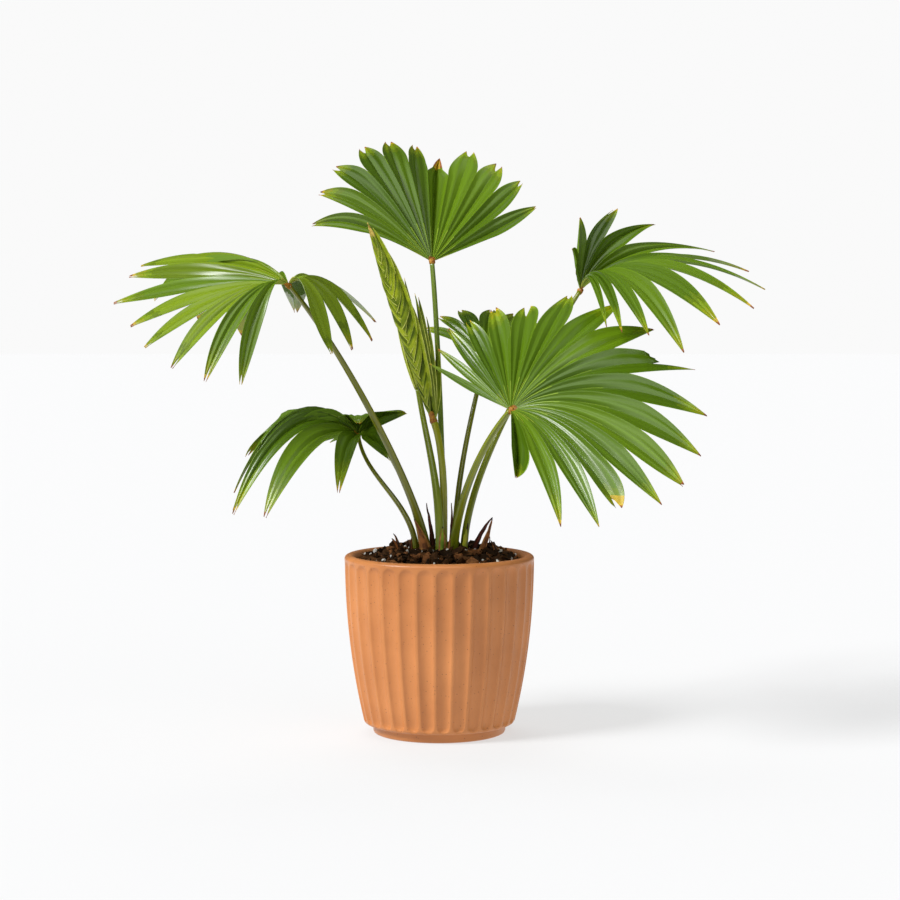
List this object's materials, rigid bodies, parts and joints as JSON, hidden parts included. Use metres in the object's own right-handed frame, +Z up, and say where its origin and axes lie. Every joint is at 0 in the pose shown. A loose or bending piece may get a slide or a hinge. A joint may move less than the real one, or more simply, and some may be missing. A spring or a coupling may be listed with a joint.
{
  "type": "potted footstool palm",
  "caption": "Young fan palm with arching pleated fronds and a closed spear leaf, standing in a fluted terracotta pot filled with soil.",
  "frame": {"origin": "centre of the pot's flat underside", "axes": "+Z up, +X to the right as seen from the front, +Y away from the viewer"},
  "size_m": [0.6661, 0.3822, 0.6307],
  "materials": {
    "clay": "fine matt unglazed clay with darker specks",
    "soil": "loose moist potting bark",
    "stalk": "smooth green stalk",
    "leaf": "semi-gloss pleated leaf",
    "spear": "satin closed young leaf",
    "husk": "dry fibrous leaf base"
  },
  "bodies": {
    "root": {"pot": "clay", "soil": "soil", "stalk_left": "stalk", "stalk_low_left": "stalk", "stalk_young_left": "stalk", "stalk_top": "stalk", "stalk_spear": "stalk", "stalk_young_spear": "stalk", "stalk_hidden": "stalk", "stalk_front_right": "stalk", "stalk_right": "stalk", "frond_top": "leaf", "frond_left": "leaf", "frond_low_left": "leaf", "frond_young_left": "leaf", "frond_hidden": "leaf", "frond_front_right": "leaf", "frond_right": "leaf", "spear": "spear", "spear_pleats": "spear", "spear_young": "spear", "husk_right": "husk", "husk_left": "husk"}
  },
  "joints": []
}
